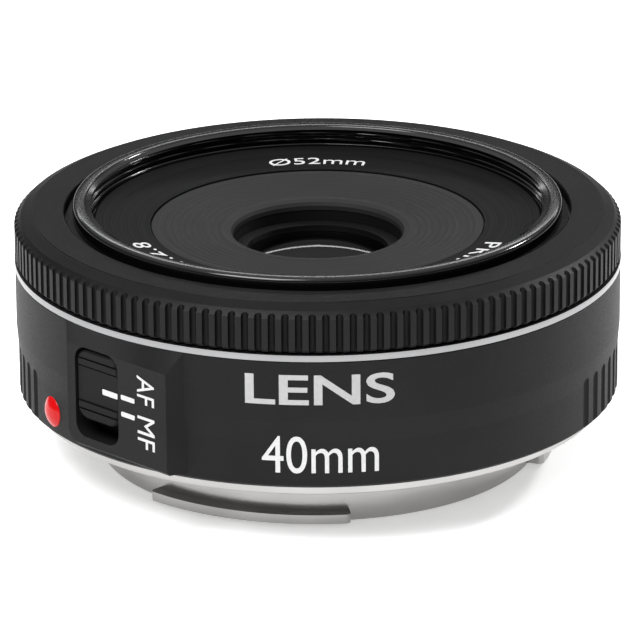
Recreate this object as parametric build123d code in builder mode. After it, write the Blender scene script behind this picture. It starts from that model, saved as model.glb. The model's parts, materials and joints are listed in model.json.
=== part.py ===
from build123d import *

import os
from math import acos, atan2, cos, degrees, hypot, pi, radians, sin, sqrt

# Thin 40 mm prime lens for a bayonet-mount camera, in millimetres.
# Z = 0 is the seating face of the bayonet flange and +Z looks out of the front.
# Bearings are in degrees round the optical axis, from -Y (the side that carries
# the focal length) towards +X. A place is a (radius, bearing) pair.

os.makedirs("parts", exist_ok=True)

# ---- Outer casing --------------------------------------------------------------
BARREL_R = 34.2  # upper band of the outer barrel
LOWER_R = 34.0  # lower band, gripped when the lens is twisted off
SHOULDER_Z = 9.1  # crease where the upper band starts to draw in
SHOULDER_END_Z = 6.6
WALL_IN_R = 31.9
BARREL_LOW_Z = 1.3
DECK_LOW_Z, DECK_Z = 15.1, 16.0  # shelf that carries the focusing ring
SLEEVE_IN_R, SLEEVE_OUT_R, SLEEVE_TOP_Z = 27.6, 28.3, 21.3
TRIM_R, TRIM_Z = 34.25, 16.7
GRIP_PITCH, GRIP_LOW_Z, GRIP_TOP_Z, GRIP_R = 4.2, 0.8, 7.4, 0.75  # open at the lower edge

DOT_BEARING, DOT_Z, DOT_R, DOT_DEPTH = -60.3, 3.85, 1.75, 0.75  # mounting index

# ---- Bayonet mount ----------------------------------------------------------------
FLANGE_R, FLANGE_T, MOUNT_TOP_Z = 32.6, 1.27, 2.2
NECK_R, NECK_IN_R, NECK_LOW_Z = 25.25, 23.6, -6.2
LUG_R, LUG_LOW_Z, LUG_TOP_Z = 26.9, -5.75, -4.7
LUG_BEARINGS = ((-44.4, 7.5), (69.5, 121.0), (187.0, 240.0))
SCREW_R, SCREW_BEARINGS = 28.9, (-5.0, 85.0, 175.0, 265.0)
LOCK_PLACE = (29.6, 32.0)  # recess for the camera's lock pin
BLOCK_SCREWS = [(21.5, 105.0), (21.5, 133.0)]  # hold the contact block and rear cover
CONTACTS, CONTACT_FROM, CONTACT_PITCH, CONTACT_CIRCLE_R = 7, 109.0, 20.0 / 6, 22.2
COVER_R, COVER_LOW_Z, COVER_OPENING = 23.4, -1.02, (27.0, 21.0)  # rear cover

# ---- Focusing ring -----------------------------------------------------------------
KNURL_R, KNURL_COUNT, KNURL_GROOVE_R, KNURL_GROOVE_IN = 34.2, 146, 0.42, 0.15
KNURL_LOW_Z, KNURL_TOP_Z = 17.15, 21.0
RING_LOW_Z, RING_TOP_Z, RING_BORE_R = 16.9, 22.1, 28.56

# ---- Focus mode switch, on a flat pad ----------------------------------------------
PAD_BEARING, PAD_DISTANCE = -44.0, 34.35  # direction of the flat and its distance
PAD_LEFT, PAD_RIGHT = -5.5, 10.2  # along the flat, from the foot of the normal
PAD_LOW_Z, PAD_FACET_Z, PAD_TOP_Z = 1.95, 13.7, 15.95
PAD_FOOT_BEARING, PAD_EDGE_BEARING = -23.8, -25.2  # foot and upper corner of its right slope
SLOT_LEFT, SLOT_RIGHT, SLOT_LOW_Z, SLOT_TOP_Z = -3.95, 2.75, 3.2, 13.7
KNOB_LOW_Z, KNOB_TOP_Z = 5.3, 13.4  # in the upper position; it travels 1.9 down
KNOB_BACK, KNOB_FACE = -2.1, -0.1  # depths behind the flat

# ---- Moving optical unit ----------------------------------------------------------
RIM_R, RIM_Z = 27.6, 23.1
THREAD_R = 25.6  # minor radius of the 52 mm filter thread
SEAT_R, SEAT_TOP_Z, LEDGE_Z = 25.2, 20.98, 18.98  # seat of the name ring and baffle
CUP_LOW_Z, WEB_TOP_Z = 13.5, 14.3
TUBE_OUT_R, TUBE_IN_R, TUBE_LOW_Z = 19.2, 18.4, 2.6
GUIDE_IN_R, GUIDE_OUT_R, GUIDE_TOP_Z = 19.3, 20.0, 13.2
FLOOR_Z = 3.0  # top of the guide's base flange
CAM_IN_R, CAM_OUT_R, CAM_LOW_Z, CAM_TOP_Z = 20.1, 21.3, 3.2, 12.4
FOCUS_TRAVEL, CAM_TURN = 7.0, 100.0  # forward travel for one full turn of the cam
PIN_R, PIN_Z, PIN_SLACK = 0.8, 4.6, 0.12
PIN_BEARINGS = (30.0, 150.0, 270.0)
FRONT_SCREWS = [(21.2, 90.0), (21.2, 210.0), (21.2, 330.0)]  # hold the front cell in the barrel
CELL_SCREWS = [(15.6, 20.0), (15.6, 140.0), (15.6, 260.0)]  # hold the two cells together
BAFFLE_HOLE_R, RIDGE_FROM, RIDGE_PITCH, RIDGES, RIDGE_H = 9.6, 17.9, 0.77, 9, 0.16

# ---- Focus drive -------------------------------------------------------------------
CAM_MODULE, CAM_TEETH = 0.4, 116
FINE_MODULE, FINE_TEETH, PINION_TEETH = 0.25, 28, 12
IDLER_R, IDLER_BEARING, MOTOR_R = 25.6, 40.0, 27.6
BRACKET_POSTS = [(25.2, 61.0), (30.0, 62.0)]
BOARD_POSTS = [(27.2, 112.0), (27.2, 214.0)]
PRESSURE_ANGLE, BACKLASH = radians(25), 0.07

# ---- Diaphragm ----------------------------------------------------------------------
BLADES = 7
CASE_LOW_Z, RING_Z, BLADE_Z, BLADE_STEP, BLADE_T = 10.0, 10.7, 11.2, 0.12, 0.08
COVER_Z, COVER_TOP_Z = 12.1, 12.5
PIVOT_R, BLADE_IN_R, BLADE_OUT_R = 10.2, 6.1, 9.4
BLADE_FROM, BLADE_TO, DRIVE_OFFSET = -8.0, 118.0, -1.8
BLADE_TURN, RING_TURN = 28.0, 20.0
APERTURE_MODULE, APERTURE_TEETH, APERTURE_PINION, APERTURE_BEARING = 0.3, 84, 12, 80.0


# ---- Helpers --------------------------------------------------------------------------
def polar(radius, bearing):
    """Point at a radius and bearing in the XY plane."""
    return (radius * sin(radians(bearing)), -radius * cos(radians(bearing)))


def upright(radius, bearing, z):
    """Level plane at a point round the axis, with its x direction pointing outwards."""
    x, y = polar(radius, bearing)
    out = (sin(radians(bearing)), -cos(radians(bearing)), 0)
    return Plane(origin=(x, y, z), x_dir=out, z_dir=(0, 0, 1))


def facing(radius, bearing, z):
    """Vertical plane that faces outwards, with its y direction up."""
    x, y = polar(radius, bearing)
    side = (cos(radians(bearing)), sin(radians(bearing)), 0)
    out = (sin(radians(bearing)), -cos(radians(bearing)), 0)
    return Plane(origin=(x, y, z), x_dir=side, z_dir=out)


def turned(points, mode=Mode.ADD):
    """Turned body from (radius, z) points, added to or cut from the current part."""
    with BuildSketch(Plane.XZ) as profile:
        with BuildLine():
            Polyline(*points, close=True)
        make_face()
    revolve(profile.sketch, axis=Axis.Z, mode=mode)


def sector(r_in, r_out, bearing_from, bearing_to, z):
    """Flat annular sector at height z."""
    start, size = bearing_from - 90, bearing_to - bearing_from
    with BuildSketch(Plane.XY.offset(z)) as shape:
        with BuildLine():
            outer = CenterArc((0, 0), r_out, start, size)
            inner = CenterArc((0, 0), r_in, start, size)
            Line(outer @ 0, inner @ 0)
            Line(outer @ 1, inner @ 1)
        make_face()
    return shape.sketch


def discs(radius, places, z):
    """Circles of one radius at (radius, bearing) places, at height z."""
    with BuildSketch(Plane.XY.offset(z)) as shape:
        with Locations(*[polar(*place) for place in places]):
            Circle(radius)
    return shape.sketch


def annulus(r_in, r_out, z):
    """Flat ring at height z."""
    with BuildSketch(Plane.XY.offset(z)) as shape:
        Circle(r_out)
        Circle(r_in, mode=Mode.SUBTRACT)
    return shape.sketch


def gear_face(module, teeth, phase, centre, z, first=0, count=None):
    """Spur gear outline with a tooth at angle phase (degrees from +X).

    Each flank is an involute of the base circle. With count, only that many teeth
    stand on the blank, from tooth number first.
    """
    pitch_r = module * teeth / 2
    base_r = pitch_r * cos(PRESSURE_ANGLE)
    root_r, tip_r = pitch_r - 1.2 * module, pitch_r + 0.95 * module
    half_pitch = (pi * module / 2 - BACKLASH) / 2 / pitch_r

    def involute(radius):
        if radius <= base_r:
            return 0.0
        slope = acos(base_r / radius)
        return sqrt(radius * radius - base_r * base_r) / base_r - slope

    at_pitch = involute(pitch_r)
    rise = [root_r + (tip_r - root_r) * step / 5 for step in range(6)]
    flank = [(radius, half_pitch + at_pitch - involute(radius)) for radius in rise]
    tooth = [(r, -a) for r, a in flank] + [(r, a) for r, a in reversed(flank)]
    turn = 2 * pi / teeth
    points = []
    for number in range(first, first + (count or teeth)):
        middle = radians(phase) + number * turn
        points += [(r * cos(middle + a), r * sin(middle + a)) for r, a in tooth]
    if count:
        points.append((0.0, 0.0))
    with BuildSketch(Plane(origin=(*centre, z))) as shape:
        with BuildLine():
            Polyline(*points, close=True)
        make_face()
    return shape.sketch


def finish(piece, name):
    """Label a finished piece and write its file."""
    piece.part.label = name
    export_step(piece.part, f"parts/{name}.step")


def ring(name, r_in, r_out, z_low, z_high):
    """Plain flat-sided ring as a piece of its own."""
    with BuildPart() as piece:
        extrude(annulus(r_in, r_out, z_low), amount=z_high - z_low)
    finish(piece, name)


def screws(name, places, head_r, head_z, shank_r, z_end, head_t=0.8):
    """Pan-head screws along Z with a cross slot; the head is at head_z."""
    up = 1 if z_end > head_z else -1
    with BuildPart() as piece:
        extrude(discs(head_r, places, head_z), amount=head_t * up)
        extrude(discs(shank_r, places, head_z), amount=z_end - head_z)
        with BuildSketch(Plane.XY.offset(head_z)) as cross:
            with Locations(*[polar(*place) for place in places]):
                Rectangle(head_r * 1.2, head_r * 0.25)
                Rectangle(head_r * 0.25, head_r * 1.2)
        extrude(cross.sketch, amount=head_t * 0.5 * up, mode=Mode.SUBTRACT)
    finish(piece, name)


# ---- Lens mount -----------------------------------------------------------------------
with BuildPart() as lens_mount:
    turned([
        (NECK_IN_R, -6.0), (NECK_IN_R + 0.2, NECK_LOW_Z), (NECK_R - 0.45, NECK_LOW_Z),
        (NECK_R - 0.25, -6.0), (NECK_R - 0.25, LUG_TOP_Z), (NECK_R, LUG_TOP_Z), (NECK_R, 0),
        (FLANGE_R - 0.15, 0), (FLANGE_R, 0.15), (FLANGE_R, FLANGE_T), (31.6, FLANGE_T),
        (31.6, MOUNT_TOP_Z), (22.6, MOUNT_TOP_Z), (22.6, 0.4), (NECK_IN_R, 0.4),
    ])
    for lug_from, lug_to in LUG_BEARINGS:
        extrude(sector(NECK_R - 0.6, LUG_R, lug_from, lug_to, LUG_LOW_Z), amount=LUG_TOP_Z - LUG_LOW_Z)
    lug_corners = lens_mount.edges().filter_by(Axis.Z).filter_by(
        lambda edge: hypot(edge.center().X, edge.center().Y) > LUG_R - 0.05
    )
    fillet(lug_corners, 0.6)
    # Through holes with countersinks for the four mount screws
    extrude(discs(0.95, [(SCREW_R, b) for b in SCREW_BEARINGS], 0), amount=MOUNT_TOP_Z, mode=Mode.SUBTRACT)
    extrude(
        discs(1.8, [(SCREW_R, b) for b in SCREW_BEARINGS], 0),
        amount=0.85, taper=45, mode=Mode.SUBTRACT,
    )
    # Recess for the camera's lock pin
    extrude(discs(1.3, [LOCK_PLACE], 0), amount=1.0, mode=Mode.SUBTRACT)
finish(lens_mount, "lens_mount")

with BuildPart() as mount_screws:
    screw_places = [(SCREW_R, bearing) for bearing in SCREW_BEARINGS]
    extrude(discs(1.7, screw_places, 0.05), amount=0.85, taper=45)
    extrude(discs(0.8, screw_places, 0.6), amount=6.4)
    with BuildSketch(Plane.XY.offset(0.05)) as mount_cross:
        with Locations(*[polar(*place) for place in screw_places]):
            Rectangle(1.9, 0.35)
            Rectangle(0.35, 1.9)
    extrude(mount_cross.sketch, amount=0.5, mode=Mode.SUBTRACT)
finish(mount_screws, "mount_screws")

# ---- Outer barrel ----------------------------------------------------------------------
pad_plane = facing(PAD_DISTANCE, PAD_BEARING, 0)


def pad_point(along):
    """Plan position of a point on the switch pad's flat."""
    turn = radians(PAD_BEARING)
    x = PAD_DISTANCE * sin(turn) + along * cos(turn)
    y = -PAD_DISTANCE * cos(turn) + along * sin(turn)
    return (x, y)


left_bearing = degrees(atan2(pad_point(PAD_LEFT)[0], -pad_point(PAD_LEFT)[1]))
pad_inside = [polar(33.2, PAD_FOOT_BEARING), polar(32.0, PAD_FOOT_BEARING), polar(32.0, left_bearing)]

with BuildPart() as pad:
    with BuildSketch(Plane.XY.offset(PAD_LOW_Z)) as pad_plan:
        with BuildLine():
            Polyline(pad_point(PAD_LEFT), pad_point(PAD_RIGHT), *pad_inside, close=True)
        make_face()
    extrude(amount=PAD_FACET_Z - PAD_LOW_Z)
    with BuildSketch(Plane.XY.offset(PAD_FACET_Z)) as facet_low:
        with BuildLine():
            Polyline(pad_point(PAD_LEFT), pad_point(PAD_RIGHT), *pad_inside, close=True)
        make_face()
    with BuildSketch(Plane.XY.offset(PAD_TOP_Z)) as facet_high:
        with BuildLine():
            rim_edge = ThreePointArc(
                polar(BARREL_R - 0.03, left_bearing),
                polar(BARREL_R - 0.03, (left_bearing + PAD_EDGE_BEARING) / 2),
                polar(BARREL_R - 0.03, PAD_EDGE_BEARING),
            )
            Polyline(rim_edge @ 1, *pad_inside, rim_edge @ 0)
        make_face()
    loft(ruled=True)
    # Round the lower left corner of the flat
    with BuildSketch(pad_plane) as pad_outline:
        with BuildLine():
            FilletPolyline(
                (PAD_LEFT, 20), (PAD_LEFT, PAD_LOW_Z), (PAD_RIGHT + 9, PAD_LOW_Z), radius=2.0
            )
            Polyline((PAD_RIGHT + 9, PAD_LOW_Z), (PAD_RIGHT + 9, 20), (PAD_LEFT, 20))
        make_face()
    extrude(amount=6, both=True, mode=Mode.INTERSECT)
    flat_edges = pad.faces().sort_by(Axis((0, 0, 0), pad_plane.z_dir))[-1].edges().filter_by(
        lambda edge: edge.center().Z < PAD_FACET_Z - 1
        and pad_plane.to_local_coords(edge.center()).X < PAD_RIGHT - 1
    )
    chamfer(flat_edges, 0.3)

with BuildPart() as outer_barrel:
    turned([
        (WALL_IN_R, BARREL_LOW_Z), (LOWER_R - 0.3, BARREL_LOW_Z), (LOWER_R, BARREL_LOW_Z + 0.3),
        (LOWER_R, SHOULDER_END_Z), (BARREL_R, SHOULDER_Z), (BARREL_R, DECK_Z - 0.15),
        (BARREL_R - 0.15, DECK_Z), (SLEEVE_OUT_R, DECK_Z), (SLEEVE_OUT_R, SLEEVE_TOP_Z),
        (SLEEVE_IN_R, SLEEVE_TOP_Z), (SLEEVE_IN_R, DECK_LOW_Z), (WALL_IN_R, DECK_LOW_Z),
    ])
    add(pad.part)
    with BuildSketch(Plane.XY.offset(BARREL_LOW_Z - 0.5)) as hollow:
        Circle(WALL_IN_R)
    extrude(hollow.sketch, amount=DECK_LOW_Z - BARREL_LOW_Z + 0.5, mode=Mode.SUBTRACT)
    # Window for the switch knob
    with BuildSketch(pad_plane) as window:
        with Locations(((SLOT_LEFT + SLOT_RIGHT) / 2, (SLOT_LOW_Z + SLOT_TOP_Z) / 2)):
            RectangleRounded(SLOT_RIGHT - SLOT_LEFT, SLOT_TOP_Z - SLOT_LOW_Z, 1.6)
    extrude(window.sketch, amount=4, both=True, mode=Mode.SUBTRACT)
    # Pocket for the index dot
    with BuildSketch(facing(LOWER_R - DOT_DEPTH, DOT_BEARING, DOT_Z)) as dot_pocket:
        Circle(DOT_R)
    extrude(dot_pocket.sketch, amount=4, mode=Mode.SUBTRACT)
    # Screw bosses joined to the wall
    for bearing in SCREW_BEARINGS:
        with BuildSketch(upright(SCREW_R, bearing, FLOOR_Z + 0.1)) as boss:
            Circle(2.0)
            with Locations((1.7, 0)):
                Rectangle(3.4, 3.0)
        extrude(boss.sketch, amount=4.4)
    extrude(
        discs(0.9, screw_places, FLOOR_Z), amount=4.2, mode=Mode.SUBTRACT
    )
    # Grip grooves round the sides and back of the lower band
    with BuildPart(mode=Mode.PRIVATE) as grip_groove:
        with Locations((0, -LOWER_R - 0.35, (GRIP_LOW_Z + GRIP_TOP_Z - GRIP_R) / 2)):
            Cylinder(GRIP_R, GRIP_TOP_Z - GRIP_R - GRIP_LOW_Z)
        with Locations((0, -LOWER_R - 0.35, GRIP_TOP_Z - GRIP_R)):
            Sphere(GRIP_R)
    grip_bearings = [60.8 + GRIP_PITCH * number for number in range(8)]
    grip_bearings += [-68.2 - GRIP_PITCH * number for number in range(7)]
    grip_bearings += [150.0 + GRIP_PITCH * number for number in range(15)]
    with Locations(*[Location((0, 0, 0), (0, 0, bearing)) for bearing in grip_bearings]):
        add(grip_groove.part, mode=Mode.SUBTRACT)
finish(outer_barrel, "outer_barrel")

ring("silver_trim_ring", 32.75, TRIM_R, DECK_Z, TRIM_Z)

with BuildPart() as index_dot:
    with BuildSketch(facing(LOWER_R - DOT_DEPTH, DOT_BEARING, DOT_Z)) as dot_base:
        Circle(DOT_R)
    extrude(dot_base.sketch, amount=DOT_DEPTH)
    with BuildSketch(facing(LOWER_R, DOT_BEARING, DOT_Z)) as dot_face:
        Circle(DOT_R)
    extrude(dot_face.sketch, amount=0.6, taper=35)
finish(index_dot, "index_dot")

# ---- Focusing ring ----------------------------------------------------------------------
with BuildPart() as focus_ring:
    turned([
        (32.75, RING_LOW_Z), (KNURL_R - 0.35, RING_LOW_Z), (KNURL_R - 0.35, KNURL_LOW_Z - 0.1),
        (KNURL_R - 0.1, KNURL_LOW_Z), (KNURL_R, KNURL_LOW_Z + 0.2), (KNURL_R, 20.8),
        (33.45, 21.5), (32.25, RING_TOP_Z - 0.07), (32.1, RING_TOP_Z - 0.07), (32.05, RING_TOP_Z),
        (RING_BORE_R + 0.1, RING_TOP_Z),
        (RING_BORE_R, RING_TOP_Z - 0.1), (RING_BORE_R, 20.9), (30.0, 20.9), (30.0, 19.2),
        (28.6, 19.2), (28.6, 18.2), (30.7, 18.2), (30.7, 20.9), (32.75, 20.9),
    ])
    with BuildPart(mode=Mode.PRIVATE) as knurl_groove:
        with Locations((0, -KNURL_R + KNURL_GROOVE_IN, (RING_LOW_Z + KNURL_TOP_Z) / 2)):
            Cylinder(KNURL_GROOVE_R, KNURL_TOP_Z - RING_LOW_Z)
        with Locations((0, -KNURL_R + KNURL_GROOVE_IN, KNURL_TOP_Z)):
            Sphere(KNURL_GROOVE_R)
    with PolarLocations(0, KNURL_COUNT, start_angle=1.4):
        add(knurl_groove.part, mode=Mode.SUBTRACT)
finish(focus_ring, "focus_ring")

with BuildPart() as encoder_comb:
    extrude(annulus(31.2, 31.5, 17.0), amount=3.85)
    with BuildSketch(Plane.XY.offset(17.0)) as comb_gaps:
        with PolarLocations(31.35, 60):
            Rectangle(1.2, 1.5)
    extrude(comb_gaps.sketch, amount=1.9, mode=Mode.SUBTRACT)
finish(encoder_comb, "encoder_comb")

with BuildPart() as focus_sensor:
    for sensor_from in (118.0, 126.5):
        extrude(sector(30.9, 31.85, sensor_from, sensor_from + 4, DECK_Z + 0.02), amount=0.6)
        extrude(sector(30.9, 31.0, sensor_from, sensor_from + 4, DECK_Z + 0.3), amount=2.2)
        extrude(sector(31.75, 32.4, sensor_from, sensor_from + 4, DECK_Z + 0.02), amount=2.5)
finish(focus_sensor, "focus_sensor")

ring("drag_washer", 28.8, 30.2, DECK_Z + 0.02, 17.2)
with BuildPart() as focus_keeper_ring:
    extrude(annulus(SLEEVE_OUT_R + 0.02, 29.7, 19.5), amount=0.7)
    extrude(sector(28, 30, -4, 4, 19.3), amount=1.2, mode=Mode.SUBTRACT)
finish(focus_keeper_ring, "focus_keeper_ring")

# ---- Focus mode switch ------------------------------------------------------------------
knob_width = SLOT_RIGHT - SLOT_LEFT - 0.3
knob_height = KNOB_TOP_Z - KNOB_LOW_Z
knob_centre = ((SLOT_LEFT + SLOT_RIGHT) / 2, (KNOB_LOW_Z + KNOB_TOP_Z) / 2)


def pad_sketch_plane(depth):
    """Plane parallel to the switch pad's flat, at a depth (negative is behind it)."""
    return facing(PAD_DISTANCE + depth, PAD_BEARING, 0)


with BuildPart() as focus_mode_knob:
    with BuildSketch(pad_sketch_plane(KNOB_BACK)) as knob_outline:
        with Locations(knob_centre):
            RectangleRounded(knob_width, knob_height, 1.5)
    extrude(amount=KNOB_FACE - KNOB_BACK)
    knob_rim = focus_mode_knob.faces().sort_by(Axis((0, 0, 0), pad_plane.z_dir))[-1].edges()
    chamfer(knob_rim, 0.25)
    # Two thumb ridges between pairs of grooves, and a shallow dish between them
    with BuildSketch(pad_sketch_plane(KNOB_FACE)) as knob_grooves:
        for groove_z in (12.35, 11.45, 7.35, 6.45):
            with Locations((knob_centre[0], groove_z)):
                Rectangle(knob_width + 1, 0.22)
    extrude(knob_grooves.sketch, amount=-0.22, mode=Mode.SUBTRACT)
    with BuildSketch(pad_sketch_plane(KNOB_FACE)) as knob_dish:
        with Locations((knob_centre[0], knob_centre[1] + 0.05)):
            Rectangle(knob_width + 1, 3.9)
    extrude(knob_dish.sketch, amount=-0.12, mode=Mode.SUBTRACT)
finish(focus_mode_knob, "focus_mode_knob")

with BuildPart() as switch_wiper:
    with BuildSketch(pad_sketch_plane(KNOB_BACK - 0.85)) as wiper:
        with Locations(knob_centre):
            Rectangle(3.0, 5.0)
    extrude(amount=0.85)
finish(switch_wiper, "switch_wiper")

with BuildPart() as switch_base:
    with BuildSketch(pad_sketch_plane(-3.9)) as switch_board:
        with Locations((knob_centre[0], (SLOT_LOW_Z + SLOT_TOP_Z) / 2)):
            Rectangle(8.4, 10.6)
    extrude(amount=0.8)
    # Guide rails that stand on the board beside the knob's wiper
    with BuildSketch(pad_sketch_plane(-3.1)) as switch_rails:
        with Locations((knob_centre[0] - 2.3, 8.5), (knob_centre[0] + 2.3, 8.5)):
            Rectangle(0.8, 8.6)
    extrude(amount=0.35)
finish(switch_base, "switch_base")

# ---- Fixed guide barrel and cam ring -----------------------------------------------------
CAM_PITCH = FOCUS_TRAVEL * 360 / CAM_TURN
SLOT_HALF = PIN_R + PIN_SLACK
CAM_SLOT_HALF = PIN_R / cos(atan2(CAM_PITCH, 2 * pi * CAM_OUT_R)) + PIN_SLACK

with BuildPart() as guide_barrel:
    extrude(annulus(GUIDE_IN_R, 31.6, MOUNT_TOP_Z + 0.05), amount=FLOOR_Z - MOUNT_TOP_Z - 0.05)
    extrude(annulus(GUIDE_IN_R, GUIDE_OUT_R, FLOOR_Z), amount=GUIDE_TOP_Z - FLOOR_Z)
    extrude(discs(0.95, screw_places, 1), amount=3, mode=Mode.SUBTRACT)
    for bearing in PIN_BEARINGS:
        with BuildSketch(facing(GUIDE_IN_R - 1, bearing, 0)) as straight_slot:
            with Locations((0, PIN_Z + FOCUS_TRAVEL / 2)):
                RectangleRounded(2 * SLOT_HALF, FOCUS_TRAVEL + 2 * SLOT_HALF + 0.2, SLOT_HALF - 0.01)
        extrude(straight_slot.sketch, amount=2.5, mode=Mode.SUBTRACT)
    # Groove for the snap ring that holds the cam ring down
    extrude(annulus(GUIDE_OUT_R - 0.25, GUIDE_OUT_R + 1, 12.6), amount=0.35, mode=Mode.SUBTRACT)
    # Posts for the circuit board and the motor bracket
    extrude(discs(1.3, BOARD_POSTS, FLOOR_Z), amount=0.6)
    extrude(discs(1.2, BRACKET_POSTS, FLOOR_Z), amount=3.6)
    extrude(discs(0.55, BOARD_POSTS, MOUNT_TOP_Z), amount=2.5, mode=Mode.SUBTRACT)
    extrude(discs(0.55, BRACKET_POSTS, 3.6), amount=4, mode=Mode.SUBTRACT)
    # Spindle of the idler gear
    extrude(discs(0.5, [(IDLER_R, IDLER_BEARING)], FLOOR_Z), amount=3.55)
    extrude(discs(0.7, BLOCK_SCREWS, 1), amount=3, mode=Mode.SUBTRACT)
finish(guide_barrel, "guide_barrel")

with BuildPart() as cam_snap_ring:
    extrude(annulus(GUIDE_OUT_R - 0.22, 20.9, 12.62), amount=0.3)
    extrude(sector(19, 22, 84, 96, 12.5), amount=1, mode=Mode.SUBTRACT)
finish(cam_snap_ring, "cam_snap_ring")

cam_margin = degrees((PIN_R + 2 * PIN_SLACK) / CAM_IN_R) + 1.5  # slot past the pin at each end
slot_sweep = CAM_TURN + 2 * cam_margin
with BuildPart() as cam_slot:
    with BuildLine() as slot_path:
        Helix(CAM_PITCH, CAM_PITCH * slot_sweep / 360, (CAM_IN_R + CAM_OUT_R) / 2, lefthand=True)
    with BuildSketch(Plane(origin=slot_path.line @ 0, x_dir=(1, 0, 0), z_dir=(0, -1, 0))) as slot_section:
        Rectangle(2.6, 2 * CAM_SLOT_HALF)
    sweep(is_frenet=True)

with BuildPart() as cam_ring:
    extrude(annulus(CAM_IN_R, CAM_OUT_R, CAM_LOW_Z), amount=CAM_TOP_Z - CAM_LOW_Z)
    gear_r = CAM_MODULE * CAM_TEETH / 2
    tooth_angle = 360 / CAM_TEETH
    back_teeth = int((CAM_TURN + 10) / tooth_angle)
    mesh_angle = IDLER_BEARING - 90
    with BuildPart(mode=Mode.PRIVATE) as cam_gear:
        extrude(
            gear_face(
                CAM_MODULE, CAM_TEETH, mesh_angle, (0, 0), CAM_LOW_Z + 0.5, -back_teeth, back_teeth + 4
            ),
            amount=1.5,
        )
        with BuildSketch(Plane.XY.offset(CAM_LOW_Z)) as gear_core:
            Circle(CAM_OUT_R - 0.2)
        extrude(gear_core.sketch, amount=4, mode=Mode.SUBTRACT)
    add(cam_gear.part)
    for bearing in PIN_BEARINGS:
        add(
            cam_slot.part.moved(
                Location((0, 0, PIN_Z - CAM_PITCH * cam_margin / 360), (0, 0, bearing - 90 + cam_margin))
            ),
            mode=Mode.SUBTRACT,
        )
finish(cam_ring, "cam_ring")

# ---- Focus drive: idler, motor and bracket ---------------------------------------------
IDLER_PLACE = [(IDLER_R, IDLER_BEARING)]
IDLER_CENTRE = polar(IDLER_R, IDLER_BEARING)
gear_gap = FINE_MODULE * (FINE_TEETH + PINION_TEETH) / 2
between = (IDLER_R ** 2 + MOTOR_R ** 2 - gear_gap ** 2) / (2 * IDLER_R * MOTOR_R)
MOTOR_BEARING = IDLER_BEARING + degrees(acos(between))
MOTOR_CENTRE = polar(MOTOR_R, MOTOR_BEARING)
fine_mesh = degrees(atan2(MOTOR_CENTRE[1] - IDLER_CENTRE[1], MOTOR_CENTRE[0] - IDLER_CENTRE[0]))
MOTOR_PLACE = [(MOTOR_R, MOTOR_BEARING)]

with BuildPart() as idler_gear:
    extrude(gear_face(CAM_MODULE, 12, mesh_angle + 195, IDLER_CENTRE, CAM_LOW_Z + 0.5), amount=1.5)
    extrude(gear_face(FINE_MODULE, FINE_TEETH, fine_mesh, IDLER_CENTRE, 5.5), amount=0.8)
    extrude(discs(1.4, IDLER_PLACE, 3.1), amount=2.5)
    extrude(discs(0.57, IDLER_PLACE, 3), amount=4, mode=Mode.SUBTRACT)
finish(idler_gear, "idler_gear")

with BuildPart() as motor_pinion:
    pinion_phase = fine_mesh + 180 + 180 / PINION_TEETH
    extrude(gear_face(FINE_MODULE, PINION_TEETH, pinion_phase, MOTOR_CENTRE, 5.35), amount=1.1)
    extrude(discs(0.4, MOTOR_PLACE, 5.35), amount=3.2)
finish(motor_pinion, "motor_pinion")

with BuildPart() as focus_motor:
    extrude(discs(3.9, MOTOR_PLACE, 7.2), amount=5.3)
    extrude(discs(1.2, MOTOR_PLACE, 12.5), amount=0.4)
    extrude(discs(0.48, MOTOR_PLACE, 7), amount=1.8, mode=Mode.SUBTRACT)
    fillet(focus_motor.edges().filter_by(GeomType.CIRCLE).group_by(Axis.Z)[-2], 0.3)
finish(focus_motor, "focus_motor")

with BuildPart() as motor_bracket:
    with BuildSketch(Plane.XY.offset(6.62)) as bracket_plan:
        with Locations(MOTOR_CENTRE):
            Circle(3.9)
        with Locations(*[polar(*place) for place in BRACKET_POSTS]):
            Circle(1.4)
        make_hull()
        with Locations(MOTOR_CENTRE, *[polar(*place) for place in BRACKET_POSTS]):
            Circle(0.6, mode=Mode.SUBTRACT)
    extrude(amount=0.5)
finish(motor_bracket, "motor_bracket")
screws("motor_screws", BRACKET_POSTS, 0.95, 7.7, 0.45, 4.2, head_t=0.55)

# ---- Electronics --------------------------------------------------------------------------
with BuildPart() as main_board:
    extrude(sector(24.3, 31.0, 100, 228, 3.62), amount=0.8)
    extrude(sector(26.2, 32.0, 169.5, 180.5, 3), amount=3, mode=Mode.SUBTRACT)
    extrude(discs(0.6, BOARD_POSTS, 3), amount=3, mode=Mode.SUBTRACT)
finish(main_board, "main_board")

with BuildPart() as board_chips:
    for radius, bearing, length, width, height in (
        (27.4, 130.0, 4.2, 4.2, 0.9), (27.6, 145.0, 3.0, 4.6, 0.8), (27.4, 160.0, 2.4, 2.4, 1.1),
        (27.6, 190.0, 4.0, 5.0, 0.9), (29.4, 204.0, 2.0, 3.2, 1.3), (28.6, 104.0, 3.0, 2.0, 1.0),
    ):
        with BuildSketch(upright(radius, bearing, 4.43)) as chip:
            Rectangle(length, width)
        extrude(chip.sketch, amount=height)
finish(board_chips, "board_chips")
screws("board_screws", BOARD_POSTS, 0.95, 4.95, 0.45, 3.1, head_t=0.5)

with BuildPart() as main_flex:
    extrude(sector(31.6, 31.75, -36, 103, 8.0), amount=2.4)
    extrude(sector(31.6, 31.75, 100, 103, 4.45), amount=3.6)
    extrude(sector(30.6, 31.75, 100, 103, 4.45), amount=0.15)
finish(main_flex, "main_flex")

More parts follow.
